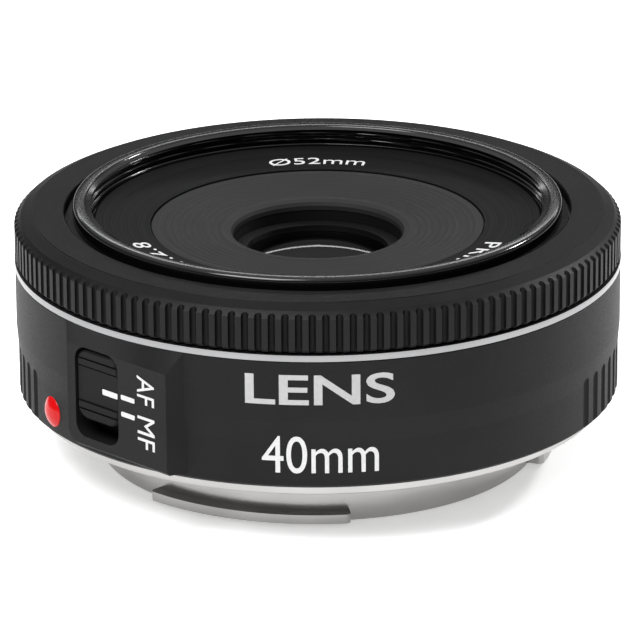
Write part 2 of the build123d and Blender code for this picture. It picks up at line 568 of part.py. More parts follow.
with BuildPart() as contact_block:
    extrude(sector(20.3, 23.5, 93, 145, -5.9), amount=4.85)
    extrude(discs(0.7, BLOCK_SCREWS, -6), amount=6, mode=Mode.SUBTRACT)
    extrude(discs(1.25, BLOCK_SCREWS, -6), amount=1.1, mode=Mode.SUBTRACT)
    contact_places = [
        (CONTACT_CIRCLE_R, CONTACT_FROM + CONTACT_PITCH * number) for number in range(CONTACTS)
    ]
    extrude(discs(0.6, contact_places, -6), amount=1.6, mode=Mode.SUBTRACT)
finish(contact_block, "contact_block")

with BuildPart() as contact_pins:
    extrude(discs(0.57, contact_places, -6.12), amount=1.6)
    fillet(contact_pins.edges().group_by(Axis.Z)[0], 0.15)
finish(contact_pins, "contact_pins")
screws("block_screws", BLOCK_SCREWS, 1.1, -5.75, 0.55, 2.9)

with BuildPart() as rear_cover:
    with BuildSketch(Plane.XY.offset(COVER_LOW_Z)) as cover_plan:
        Circle(COVER_R)
        RectangleRounded(*COVER_OPENING, 7.0, mode=Mode.SUBTRACT)
    extrude(amount=0.9)
    extrude(annulus(COVER_R - 0.7, COVER_R, -0.2), amount=0.55)
    extrude(discs(0.7, BLOCK_SCREWS, -2), amount=3, mode=Mode.SUBTRACT)
finish(rear_cover, "rear_cover")

# ---- Front barrel of the moving unit -----------------------------------------------------
with BuildPart() as front_barrel:
    turned([
        (TUBE_OUT_R, TUBE_LOW_Z), (TUBE_OUT_R, CUP_LOW_Z), (RIM_R, CUP_LOW_Z), (RIM_R, RIM_Z - 0.3),
        (RIM_R - 0.3, RIM_Z), (THREAD_R + 0.35, RIM_Z), (THREAD_R, RIM_Z - 0.35),
        (THREAD_R, SEAT_TOP_Z), (SEAT_R, SEAT_TOP_Z), (SEAT_R, LEDGE_Z), (25.0, LEDGE_Z),
        (25.0, WEB_TOP_Z), (TUBE_IN_R, WEB_TOP_Z),
        (TUBE_IN_R, TUBE_LOW_Z),
    ])
    extrude(discs(0.6, FRONT_SCREWS, CUP_LOW_Z), amount=2, mode=Mode.SUBTRACT)
    for bearing in PIN_BEARINGS:
        with BuildSketch(facing(TUBE_IN_R - 1, bearing, PIN_Z)) as pin_hole:
            Circle(PIN_R + 0.02)
        extrude(pin_hole.sketch, amount=3, mode=Mode.SUBTRACT)
finish(front_barrel, "front_barrel")

with BuildPart() as follower_pins:
    for bearing in PIN_BEARINGS:
        with BuildSketch(facing(TUBE_IN_R + 0.1, bearing, PIN_Z)) as pin_end:
            Circle(PIN_R)
        extrude(pin_end.sketch, amount=21.15 - TUBE_IN_R - 0.1)
finish(follower_pins, "follower_pins")

with BuildPart() as name_ring:
    turned([
        (18.9, 19.65), (SEAT_R - 0.03, 19.65), (SEAT_R - 0.03, 20.85), (25.05, 20.92), (23.45, 20.5),
        (18.9, 20.1),
    ])
finish(name_ring, "name_ring")

with BuildPart() as front_baffle:
    ridge_points = []
    for number in range(RIDGES):
        crest = RIDGE_FROM - number * RIDGE_PITCH
        crest_z = 19.95 - 0.07 * (RIDGE_FROM - crest)
        ridge_points.append((crest, crest_z))
        ridge_points.append((crest - RIDGE_PITCH * 0.55, crest_z - RIDGE_H))
    turned([
        (SEAT_R - 0.03, 19.0), (SEAT_R - 0.03, 19.6), (18.75, 19.6), (18.7, 19.95), *ridge_points,
        (10.95, 19.5), (10.3, 19.42), (9.8, 19.2), (BAFFLE_HOLE_R, 18.8), (BAFFLE_HOLE_R, 18.3),
        (10.4, 18.3), (10.8, 18.6), (18.0, 19.0),
    ])
finish(front_baffle, "front_baffle")

with BuildPart() as front_cell:
    turned([
        (9.65, 18.2), (9.65, 16.1), (8.75, 16.1), (8.75, 14.6), (7.6, 14.6), (7.6, 14.3),
        (7.15, 14.3), (7.15, 12.7), (12.8, 12.7), (12.8, 14.35), (22.3, 14.35), (22.3, 15.1),
        (12.8, 15.1), (12.8, 18.2),
    ])
    extrude(discs(1.3, CELL_SCREWS, 12.55), amount=1.9)
    extrude(discs(0.6, CELL_SCREWS, 12), amount=2.6, mode=Mode.SUBTRACT)
    extrude(discs(0.6, FRONT_SCREWS, 14), amount=2, mode=Mode.SUBTRACT)
finish(front_cell, "front_cell")
screws("front_screws", FRONT_SCREWS, 1.1, 15.7, 0.5, 13.6, head_t=0.6)

ring("front_retaining_ring", 8.05, 9.6, 16.3, 17.0)


# ---- Glass ---------------------------------------------------------------------------------
def element(name, radius, rear_z, front_z, rear_sag, front_sag):
    """Lens element; a positive sag is a convex face, measured at the element's edge."""
    def middle(sag):
        if abs(sag) < 1e-9:
            return 0.0
        curve = (radius * radius + sag * sag) / (2 * abs(sag))
        depth = curve - sqrt(curve * curve - radius * radius / 4)
        return depth if sag > 0 else -depth

    with BuildPart() as piece:
        with BuildSketch(Plane.XZ) as section:
            with BuildLine():
                ThreePointArc((0, rear_z), (radius / 2, rear_z + middle(rear_sag)), (radius, rear_z + rear_sag))
                Line((radius, rear_z + rear_sag), (radius, front_z - front_sag))
                ThreePointArc(
                    (radius, front_z - front_sag), (radius / 2, front_z - middle(front_sag)), (0, front_z)
                )
                Line((0, front_z), (0, rear_z))
            make_face()
        revolve(axis=Axis.Z)
    finish(piece, name)


element("front_element", 8.7, 15.1, 17.5, -0.45, 1.45)
element("second_element", 7.05, 13.45, 14.25, 0.2, 0.35)
element("third_element", 7.05, 13.0, 13.45, -0.25, -0.2)
element("fourth_element", 7.3, 8.6, 9.1, -0.4, -0.4)
element("fifth_element", 7.3, 7.0, 8.6, 0.5, 0.4)
element("rear_element", 9.0, 4.2, 5.6, 0.6, -0.5)

APERTURE_R = APERTURE_MODULE * (APERTURE_TEETH + APERTURE_PINION) / 2
APERTURE_PLACE = [(APERTURE_R, APERTURE_BEARING)]

with BuildPart() as rear_cell:
    turned([
        (9.1, 3.4), (10.8, 3.4), (10.8, 9.2), (18.2, 9.2), (18.2, 9.9), (7.4, 9.9), (7.4, 7.35),
        (6.6, 7.35), (6.6, 6.3), (9.1, 6.3),
    ])
    extrude(discs(3.15, APERTURE_PLACE, 9), amount=2, mode=Mode.SUBTRACT)
    extrude(discs(0.6, CELL_SCREWS, 9), amount=2, mode=Mode.SUBTRACT)
finish(rear_cell, "rear_cell")
ring("rear_retaining_ring", 8.4, 9.05, 3.6, 4.65)
screws("cell_screws", CELL_SCREWS, 1.1, 8.6, 0.5, 14.2, head_t=0.6)

# ---- Diaphragm -------------------------------------------------------------------------------
blade_bearings = [number * 360 / BLADES for number in range(BLADES)]

with BuildPart() as diaphragm_case:
    extrude(annulus(6.4, 17.8, CASE_LOW_Z), amount=0.6)
    extrude(annulus(16.9, 17.8, CASE_LOW_Z), amount=COVER_Z - CASE_LOW_Z - 0.02)
    extrude(annulus(8.2, 8.7, CASE_LOW_Z), amount=1.05)
    extrude(discs(1.2, CELL_SCREWS, CASE_LOW_Z), amount=COVER_Z - CASE_LOW_Z - 0.02)
    extrude(discs(0.48, APERTURE_PLACE, 9), amount=3, mode=Mode.SUBTRACT)
    extrude(discs(0.6, CELL_SCREWS, 9), amount=4, mode=Mode.SUBTRACT)
finish(diaphragm_case, "diaphragm_case")

with BuildPart() as diaphragm_cover:
    extrude(annulus(6.4, 17.8, COVER_Z), amount=COVER_TOP_Z - COVER_Z)
    extrude(discs(0.36, [(PIVOT_R, b) for b in blade_bearings], 12), amount=1, mode=Mode.SUBTRACT)
    extrude(discs(0.6, CELL_SCREWS, 12), amount=1, mode=Mode.SUBTRACT)
finish(diaphragm_cover, "diaphragm_cover")


def drive_point(share, bearing):
    """Blade's drive pin, seen from the diaphragm ring, at a share of the closing turn."""
    pivot_x, pivot_y = polar(PIVOT_R, bearing)
    angle = radians(bearing - 90)
    offset = (-DRIVE_OFFSET * sin(angle), DRIVE_OFFSET * cos(angle))
    turn = radians(BLADE_TURN * share)
    x = pivot_x + offset[0] * cos(turn) - offset[1] * sin(turn)
    y = pivot_y + offset[0] * sin(turn) + offset[1] * cos(turn)
    back = radians(-RING_TURN * share)
    return (x * cos(back) - y * sin(back), x * sin(back) + y * cos(back))


with BuildPart() as diaphragm_ring:
    aperture_mesh = APERTURE_BEARING - 90
    tooth_step = 360 / APERTURE_TEETH
    spare_teeth = int((RING_TURN + 14) / tooth_step)
    extrude(
        gear_face(
            APERTURE_MODULE, APERTURE_TEETH, aperture_mesh, (0, 0), RING_Z, -spare_teeth, spare_teeth + 4
        ),
        amount=0.4,
    )
    extrude(annulus(8.78, 12.2, RING_Z), amount=0.4)
    with BuildSketch(Plane.XY.offset(RING_Z)) as ring_bore:
        Circle(8.78)
    extrude(ring_bore.sketch, amount=0.4, mode=Mode.SUBTRACT)
    for bearing in blade_bearings:
        with BuildSketch(Plane.XY.offset(RING_Z)) as drive_slot:
            with Locations(*[drive_point(step / 4, bearing) for step in range(5)]):
                Circle(0.4)
            make_hull()
        extrude(drive_slot.sketch, amount=0.4, mode=Mode.SUBTRACT)
finish(diaphragm_ring, "diaphragm_ring")

with BuildPart() as aperture_pinion:
    aperture_phase = aperture_mesh + 180 + 180 / APERTURE_PINION
    extrude(
        gear_face(APERTURE_MODULE, APERTURE_PINION, aperture_phase, polar(*APERTURE_PLACE[0]), RING_Z),
        amount=0.8,
    )
    extrude(discs(0.4, APERTURE_PLACE, 8.9), amount=2)
finish(aperture_pinion, "aperture_pinion")

with BuildPart() as aperture_motor:
    extrude(discs(3.0, APERTURE_PLACE, 5.2), amount=4.75)
    extrude(discs(0.48, APERTURE_PLACE, 8.6), amount=2, mode=Mode.SUBTRACT)
finish(aperture_motor, "aperture_motor")

for number, bearing in enumerate(blade_bearings):
    level = BLADE_Z + number * BLADE_STEP
    # Rounded tab that carries the blade's two pins
    with BuildSketch() as blade_tab:
        with Locations(polar(PIVOT_R, bearing), drive_point(0, bearing)):
            Circle(0.6)
        with Locations(polar(8.7, bearing - 7), polar(8.7, bearing + 3)):
            Circle(0.6)
        make_hull()
    with BuildSketch(Plane.XY.offset(level)) as blade_plan:
        add(sector(BLADE_IN_R, BLADE_OUT_R, bearing + BLADE_FROM, bearing + BLADE_TO, 0))
        add(blade_tab.sketch)
    with BuildPart() as blade:
        extrude(blade_plan.sketch, amount=BLADE_T)
        extrude(discs(0.3, [(PIVOT_R, bearing)], level + BLADE_T / 2), amount=12.35 - level - BLADE_T / 2)
        with BuildSketch(Plane.XY.offset(RING_Z + 0.05)) as drive_pin:
            with Locations(drive_point(0, bearing)):
                Circle(0.3)
        extrude(drive_pin.sketch, amount=level + BLADE_T / 2 - RING_Z - 0.05)
    finish(blade, f"diaphragm_blade_{number + 1}")
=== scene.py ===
import json
from math import ceil, cos, floor, pi, radians, sin, sqrt

import bmesh
import bpy
from mathutils import Matrix, Vector


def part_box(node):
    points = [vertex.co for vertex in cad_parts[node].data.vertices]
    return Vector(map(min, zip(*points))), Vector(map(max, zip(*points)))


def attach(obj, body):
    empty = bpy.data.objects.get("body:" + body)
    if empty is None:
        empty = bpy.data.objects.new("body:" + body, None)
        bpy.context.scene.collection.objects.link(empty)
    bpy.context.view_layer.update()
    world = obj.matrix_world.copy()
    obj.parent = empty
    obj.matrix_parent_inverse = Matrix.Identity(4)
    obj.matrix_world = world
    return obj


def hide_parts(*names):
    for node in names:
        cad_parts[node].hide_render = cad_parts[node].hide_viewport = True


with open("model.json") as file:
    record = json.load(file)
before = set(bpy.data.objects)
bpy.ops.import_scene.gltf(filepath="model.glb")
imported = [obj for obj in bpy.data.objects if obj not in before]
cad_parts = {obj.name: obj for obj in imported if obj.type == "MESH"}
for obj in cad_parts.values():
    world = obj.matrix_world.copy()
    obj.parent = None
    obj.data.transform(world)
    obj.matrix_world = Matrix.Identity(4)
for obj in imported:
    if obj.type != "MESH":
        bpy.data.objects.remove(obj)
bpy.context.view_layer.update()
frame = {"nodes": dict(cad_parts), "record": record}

MM = 0.001

# ---- Sizes taken from the frame ---------------------------------------------------
mounts = {mount["name"]: mount for mount in frame["record"]["mounts"]}
THREAD_R = mounts["filter_thread"]["dims"]["r_mm"] * MM
THREAD_LENGTH = mounts["filter_thread"]["dims"]["length_mm"] * MM
THREAD_MID_Z = mounts["filter_thread"]["pos_m"][2]
BARREL_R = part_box("outer_barrel")[1].x
LOWER_R = BARREL_R - 0.2 * MM  # lower band, which is gripped
CREASE_LOW_Z, CREASE_HIGH_Z = 6.6 * MM, 9.1 * MM  # where the barrel tapers between the two
RIM_R, RIM_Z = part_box("front_barrel")[1].x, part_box("front_barrel")[1].z
TUBE_LOW_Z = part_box("front_barrel")[0].z
FLOOR_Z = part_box("lens_mount")[0].z

# The focus mode switch stands on a flat whose normal has this bearing
PAD_BEARING, PAD_DISTANCE = radians(-44.0), 34.35 * MM
PAD_OUT = Vector((sin(PAD_BEARING), -cos(PAD_BEARING), 0.0))
PAD_SIDE = Vector((cos(PAD_BEARING), sin(PAD_BEARING), 0.0))
KNOB_DEPTH = 0.22 * MM  # the knob's dished face, behind the flat
KNURL_DEPTH = 0.57 * MM  # of the focusing ring's grooves

# Name ring: a shallow cone round the baffle
NAME_IN_R, NAME_IN_Z, NAME_SLOPE = 18.9 * MM, 20.1 * MM, 0.4 / 4.55

# Front barrel: rim, seat of the name ring, well, moving tube and the holes through them
RIM_ROUND, MOUTH_ROUND, CUP_ROUND, MOUTH_BEVEL = 0.5 * MM, 0.3 * MM, 0.3 * MM, 0.75 * MM
THREAD_PITCH, THREAD_DEPTH = 0.75 * MM, 0.36 * MM
THREAD_CREST, THREAD_FLANK = 0.1875, 0.625  # flat of a crest and run of a flank, in half pitches
SEAT_R, LEDGE_Z, WELL_R = 25.2 * MM, 18.98 * MM, 25.0 * MM
WEB_Z, CUP_LOW_Z, TUBE_IN_R, TUBE_OUT_R = 14.3 * MM, 13.5 * MM, 18.4 * MM, 19.2 * MM
PIN_HOLE_R, PIN_BEARINGS = 0.82 * MM, (30.0, 150.0, 270.0)
SCREW_HOLE_R, SCREW_CIRCLE_R, SCREW_BEARINGS = 0.6 * MM, 21.2 * MM, (90.0, 210.0, 330.0)

# Index dot: a dome over a short stem, both measured from the casing's surface
DOT_R, DOT_PROUD, DOT_STEM = 1.75 * MM, 0.62 * MM, 0.75 * MM
STEM_EDGE, DOME_EDGE = -0.05 * MM, -0.04 * MM

# Markings: layer of paint, and the narrow strips that let it follow a round surface
MARK_SUNK, MARK_PROUD = 0.03 * MM, 0.035 * MM
STRIP = 0.4 * MM
PAD_LABEL_X, PAD_TICK_X = 7.1 * MM, 4.3 * MM  # along the switch's flat
TICK_LENGTH, TICK_HEIGHT = 2.1 * MM, 0.55 * MM
WORD_BEARING = 0.25  # middle of the words on the casing


def polar(radius, bearing, z=0.0):
    """Point at a radius, bearing in degrees and height."""
    return Vector((radius * sin(radians(bearing)), -radius * cos(radians(bearing)), z))


# ---- Materials --------------------------------------------------------------------
def make_material(name, colour, roughness, **sockets):
    """Principled material; other sockets are keywords with underscores for spaces."""
    material = bpy.data.materials.new(name)
    material.use_nodes = True
    shader = material.node_tree.nodes["Principled BSDF"]
    shader.inputs["Base Color"].default_value = (*colour, 1.0)
    shader.inputs["Roughness"].default_value = roughness
    for socket, value in sockets.items():
        shader.inputs[socket.replace("_", " ")].default_value = value
    return material, shader


def add_node(material, kind, inputs=None, **settings):
    """Adds a node, sets its properties, and sets or links its inputs."""
    node = material.node_tree.nodes.new(kind)
    for setting, value in settings.items():
        setattr(node, setting, value)
    for socket, value in (inputs or {}).items():
        if isinstance(value, bpy.types.NodeSocket):
            material.node_tree.links.new(value, node.inputs[socket])
        else:
            node.inputs[socket].default_value = value
    return node


def link(material, output, target):
    """Joins a node's output to another's input."""
    material.node_tree.links.new(output, target)


def object_point(material):
    """Place on the object, in metres."""
    return add_node(material, "ShaderNodeTexCoord").outputs["Object"]


def turned_point(material):
    """(distance from the axis, 0, height): constant round the optical axis."""
    split = add_node(material, "ShaderNodeSeparateXYZ", {0: object_point(material)})
    squares = [
        add_node(material, "ShaderNodeMath", {0: split.outputs[axis], 1: 2.0}, operation="POWER")
        for axis in "XY"
    ]
    total = add_node(
        material, "ShaderNodeMath", {0: squares[0].outputs[0], 1: squares[1].outputs[0]}
    )
    radius = add_node(material, "ShaderNodeMath", {0: total.outputs[0]}, operation="SQRT")
    joined = add_node(
        material, "ShaderNodeCombineXYZ", {"X": radius.outputs[0], "Z": split.outputs["Z"]}
    )
    return joined.outputs[0]


def noise(material, point, scale, detail=2.0, roughness=0.5):
    """Noise value; scale is in features per metre."""
    node = add_node(
        material, "ShaderNodeTexNoise",
        {"Vector": point, "Scale": scale, "Detail": detail, "Roughness": roughness},
    )
    return node.outputs["Fac"]


def remap(material, value, low, high):
    """Noise, mostly between 0.3 and 0.7, spread over a range."""
    node = add_node(
        material, "ShaderNodeMapRange",
        {"Value": value, "From Min": 0.3, "From Max": 0.7, "To Min": low, "To Max": high},
    )
    return node.outputs["Result"]


def shades(material, value, dark, light):
    """Colour that varies between two shades."""
    node = add_node(material, "ShaderNodeValToRGB", {"Fac": value})
    node.color_ramp.elements[0].position = 0.3
    node.color_ramp.elements[0].color = (*dark, 1.0)
    node.color_ramp.elements[1].position = 0.7
    node.color_ramp.elements[1].color = (*light, 1.0)
    return node.outputs["Color"]


def bump(material, shader, height, distance):
    """Relief of a given depth in metres."""
    node = add_node(
        material, "ShaderNodeBump", {"Height": height, "Distance": distance, "Strength": 1.0}
    )
    link(material, node.outputs["Normal"], shader.inputs["Normal"])


def scaled(colour, factor):
    """Darker or lighter shade of a colour."""
    return tuple(channel * factor for channel in colour)


def moulded(
    name, colour, roughness, grain=0.22 * MM, depth=0.012 * MM, specular=0.14, spread=0.25
):
    """Moulded or painted surface: a fine grain, and slow changes of shade and gloss."""
    material, shader = make_material(name, colour, roughness, Specular_IOR_Level=specular)
    point = object_point(material)
    slow = noise(material, point, 90.0, 3.0)
    fine = noise(material, point, 1.0 / grain, 4.0, 0.6)
    tint = shades(material, slow, scaled(colour, 1 - spread), scaled(colour, 1 + spread))
    link(material, tint, shader.inputs["Base Color"])
    gloss = remap(material, fine, roughness - 0.07, roughness + 0.07)
    link(material, gloss, shader.inputs["Roughness"])
    bump(material, shader, fine, depth)
    return material


def turned(
    name, colour, roughness, pitch=0.12 * MM, depth=0.002 * MM, metallic=1.0, specular=0.5
):
    """Turned surface: fine lines round the optical axis."""
    material, shader = make_material(
        name, colour, roughness, Metallic=metallic, Specular_IOR_Level=specular
    )
    lines = noise(material, turned_point(material), 1.0 / pitch, 5.0, 0.7)
    cloud = noise(material, object_point(material), 150.0, 2.0)
    tint = shades(material, cloud, scaled(colour, 0.9), colour)
    link(material, tint, shader.inputs["Base Color"])
    gloss = remap(material, lines, roughness * 0.75, roughness * 1.3)
    link(material, gloss, shader.inputs["Roughness"])
    bump(material, shader, lines, depth)
    return material


def printed(name, colour, roughness=0.5):
    """Printed marking: slightly uneven ink."""
    material, shader = make_material(name, colour, roughness)
    ink = noise(material, object_point(material), 2500.0, 3.0)
    link(material, shades(material, ink, scaled(colour, 0.9), colour), shader.inputs["Base Color"])
    bump(material, shader, ink, 0.004 * MM)
    return material


def coated_glass(name):
    """Coated glass, with a weak reflection; painted shade colours it near black for the dark inside
    of a lens behind it, and a painted sheen lightens it at grazing angles.
    """
    # Painted shade: the glass is coloured near black in place of the dark inside of the lens
    material, shader = make_material(
        name, (0.010, 0.011, 0.012), 0.0, Transmission_Weight=1.0, IOR=1.2,
    )
    dust = noise(material, object_point(material), 1800.0, 4.0, 0.6)
    link(material, remap(material, dust, 0.0, 0.02), shader.inputs["Roughness"])
    # Painted sheen: the colour turns a little lighter and bluer towards grazing angles
    facing = add_node(material, "ShaderNodeLayerWeight", {"Blend": 0.4}).outputs["Facing"]
    tint = shades(material, facing, (0.009, 0.008, 0.012), (0.012, 0.013, 0.015))
    link(material, tint, shader.inputs["Base Color"])
    return material


def circuit_board(name):
    """Green board with lighter tracks."""
    green = (0.02, 0.12, 0.05)
    material, shader = make_material(name, green, 0.4)
    tracks = add_node(
        material, "ShaderNodeTexBrick",
        {
            "Vector": object_point(material), "Color1": (*green, 1.0),
            "Color2": (0.03, 0.15, 0.06, 1.0), "Mortar": (0.10, 0.30, 0.12, 1.0),
            "Scale": 900.0, "Mortar Size": 0.04,
        },
    )
    link(material, tracks.outputs["Color"], shader.inputs["Base Color"])
    bump(material, shader, tracks.outputs["Fac"], 0.01 * MM)
    return material


def felt(name):
    """Dark felt with fine fibres."""
    material, shader = make_material(name, (0.1, 0.1, 0.1), 0.95, Sheen_Weight=0.4)
    fibres = noise(material, object_point(material), 6000.0, 6.0, 0.8)
    tint = shades(material, fibres, (0.04, 0.04, 0.04), (0.16, 0.16, 0.16))
    link(material, tint, shader.inputs["Base Color"])
    bump(material, shader, fibres, 0.06 * MM)
    return material


def knurled_rubber(name, colour, crest_r, root_r):
    """Focusing ring: painted shade, darker in the grooves than on the crests, which are painted
    lighter.
    """
    material = moulded(name, colour, 0.5, 0.16 * MM, 0.014 * MM)
    shader = material.node_tree.nodes["Principled BSDF"]
    split = add_node(material, "ShaderNodeSeparateXYZ", {0: turned_point(material)})
    height = add_node(
        material, "ShaderNodeMapRange",
        {
            "Value": split.outputs["X"], "From Min": root_r, "From Max": crest_r,
            "To Min": 0.0, "To Max": 1.0,
        },
    )
    # Painted shade: colour goes from 0.12 of the ring's in the grooves to 1.2 on the crests, by
    # distance from the axis
    dark = add_node(
        material, "ShaderNodeMixRGB",
        {"Fac": height.outputs[0], "Color1": (*scaled(colour, 0.12), 1.0),
         "Color2": (*scaled(colour, 1.2), 1.0)},
    )
    slow = noise(material, object_point(material), 300.0, 3.0)
    # Slow noise fades the painted groove shade and crest light back to the plain colour in patches
    patchy_knurl_shade = add_node(
        material, "ShaderNodeMixRGB",
        {"Fac": remap(material, slow, 0.0, 0.35), "Color1": dark.outputs[0],
         "Color2": (*colour, 1.0)},
    )
    link(material, patchy_knurl_shade.outputs[0], shader.inputs["Base Color"])
    return material


BLACK = (0.0062, 0.0062, 0.0064)
slot_materials = {
    "barrel_black": moulded("BarrelPaint", BLACK, 0.55, 0.2 * MM, 0.02 * MM),
    "ring_black": knurled_rubber("FocusRingBlack", BLACK, BARREL_R, BARREL_R - KNURL_DEPTH),
    "silver_trim": turned("SilverTrim", (0.27, 0.27, 0.274), 0.32),
    "mount_steel": turned("MountSteel", (0.36, 0.356, 0.35), 0.22, 0.25 * MM, 0.004 * MM),
    "screw_steel": turned("ScrewSteel", (0.55, 0.55, 0.56), 0.35),
    "index_red": moulded("IndexRed", (0.48, 0.001, 0.002), 0.2, 0.4 * MM, 0.002 * MM, 0.25, 0.08),
    "switch_black": moulded("SwitchBlack", BLACK, 0.5, 0.14 * MM, 0.01 * MM, 0.08),
    "front_black": turned(
        "FrontBarrelBlack", scaled(BLACK, 0.3), 0.12, 0.25 * MM, 0.0006 * MM, 0.0, 0.35
    ),
    "name_black": turned("NameRingBlack", scaled(BLACK, 0.8), 0.5, 0.1 * MM, 0.002 * MM, 0.0, 0.06),
    "baffle_black": turned(
        "BaffleBlack", scaled(BLACK, 2.7), 0.6, 0.1 * MM, 0.003 * MM, 0.0, 0.15
    ),
    "cell_black": turned("CellBlack", scaled(BLACK, 0.5), 0.5, 0.15 * MM, 0.003 * MM, 0.0, 0.2),
    "glass_coated": coated_glass("CoatedGlass"),
    "cam_aluminium": turned("CamAluminium", (0.70, 0.70, 0.72), 0.35),
    "gear_nylon": moulded("GearNylon", (0.72, 0.70, 0.64), 0.45, 0.3 * MM, 0.006 * MM, 0.5, 0.05),
    "board_green": circuit_board("CircuitBoard"),
    "chip_black": moulded("ChipEpoxy", (0.02, 0.02, 0.02), 0.45, 0.08 * MM, 0.006 * MM),
    "flex_amber": moulded("FlexAmber", (0.45, 0.20, 0.04), 0.3, 0.5 * MM, 0.003 * MM, 0.5, 0.1),
    "contact_gold": turned("ContactGold", (0.95, 0.72, 0.33), 0.22),
    "motor_steel": turned("MotorSteel", (0.62, 0.62, 0.63), 0.3),
    "blade_black": moulded("BladeBlack", BLACK, 0.4, 0.3 * MM, 0.003 * MM),
    "washer_felt": felt("WasherFelt"),
    "marking_white": printed("MarkingWhite", (0.54, 0.54, 0.54)),
}
silver_ink = printed("MarkingSilver", (0.36, 0.36, 0.36), 0.4)


def paint_frame():
    """Gives each CAD node the material of its slot."""
    for part in frame["record"]["subparts"]:
        node = frame["nodes"][part["node"]]
        if not node.material_slots:
            node.data.materials.append(None)
        for place in node.material_slots:
            place.link = "OBJECT"
            place.material = slot_materials[part["material_slot"]]


# ---- Mesh pieces ------------------------------------------------------------------
def piece_from(name, mesh, body, slot, material=None):
    """Puts a finished mesh in the scene, riding on a body."""
    piece = bpy.data.objects.new(name, mesh)
    bpy.context.scene.collection.objects.link(piece)
    mesh.materials.clear()
    mesh.materials.append(material or slot_materials[slot])
    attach(piece, body)
    return piece


def shade(mesh, angle=30.0):
    """Smooth shading with sharp edges beyond an angle."""
    mesh.polygons.foreach_set("use_smooth", [True] * len(mesh.polygons))
    mesh.set_sharp_from_angle(angle=radians(angle))


def arc(centre, radius, start, end, steps):
    """Points of an arc in the (radius, height) plane, angles in degrees."""
    angles = [radians(start + (end - start) * step / steps) for step in range(steps + 1)]
    return [(centre[0] + radius * cos(a), centre[1] + radius * sin(a)) for a in angles]


def lathe(name, profile, steps, shift=None):
    """Closed mesh of a closed (radius, height) profile turned round Z.

    shift takes a radius, a height and an angle, and gives the radius there.
    """
    mesh = bpy.data.meshes.new(name)
    count = len(profile)
    points = []
    for step in range(steps):
        angle = 2 * pi * step / steps
        for radius, height in profile:
            at = shift(radius, height, angle) if shift else radius
            points.append((at * cos(angle), at * sin(angle), height))
    faces = []
    for step in range(steps):
        here, beyond = step * count, (step + 1) % steps * count
        for k in range(count):
            after = (k + 1) % count
            faces.append((here + k, beyond + k, beyond + after, here + after))
    mesh.from_pydata(points, [], faces)
    fix_normals(mesh)
    return mesh


def fix_normals(mesh, merge=1e-8, least_edge=0.0):
    """Merges points closer than merge, drops edges under least_edge, turns faces outwards."""
    work = bmesh.new()
    work.from_mesh(mesh)
    bmesh.ops.remove_doubles(work, verts=work.verts, dist=merge)
    if least_edge:
        bmesh.ops.dissolve_degenerate(work, edges=work.edges, dist=least_edge)
    bmesh.ops.recalc_face_normals(work, faces=work.faces)
    work.to_mesh(mesh)
    work.free()


def cut_holes(mesh, holes):
    """Cuts round holes; each is (radius, one end, other end)."""
    base = bpy.data.objects.new("cut_base", mesh)
    bpy.context.scene.collection.objects.link(base)
    work = bmesh.new()
    for radius, start, end in holes:
        axis = end - start
        turn = axis.to_track_quat("Z", "Y").to_matrix().to_4x4()
        place = Matrix.Translation((start + end) / 2) @ turn
        bmesh.ops.create_cone(
            work, cap_ends=True, segments=48, radius1=radius, radius2=radius,
            depth=axis.length, matrix=place,
        )
    cutter_mesh = bpy.data.meshes.new("cutters")
    work.to_mesh(cutter_mesh)
    work.free()
    cutter = bpy.data.objects.new("cutters", cutter_mesh)
    bpy.context.scene.collection.objects.link(cutter)
    cut = base.modifiers.new("holes", "BOOLEAN")
    cut.operation, cut.solver, cut.object = "DIFFERENCE", "EXACT", cutter
    ready = base.evaluated_get(bpy.context.evaluated_depsgraph_get())
    result = bpy.data.meshes.new_from_object(ready)
    for scrap in (base, cutter):
        bpy.data.objects.remove(scrap)
    return result


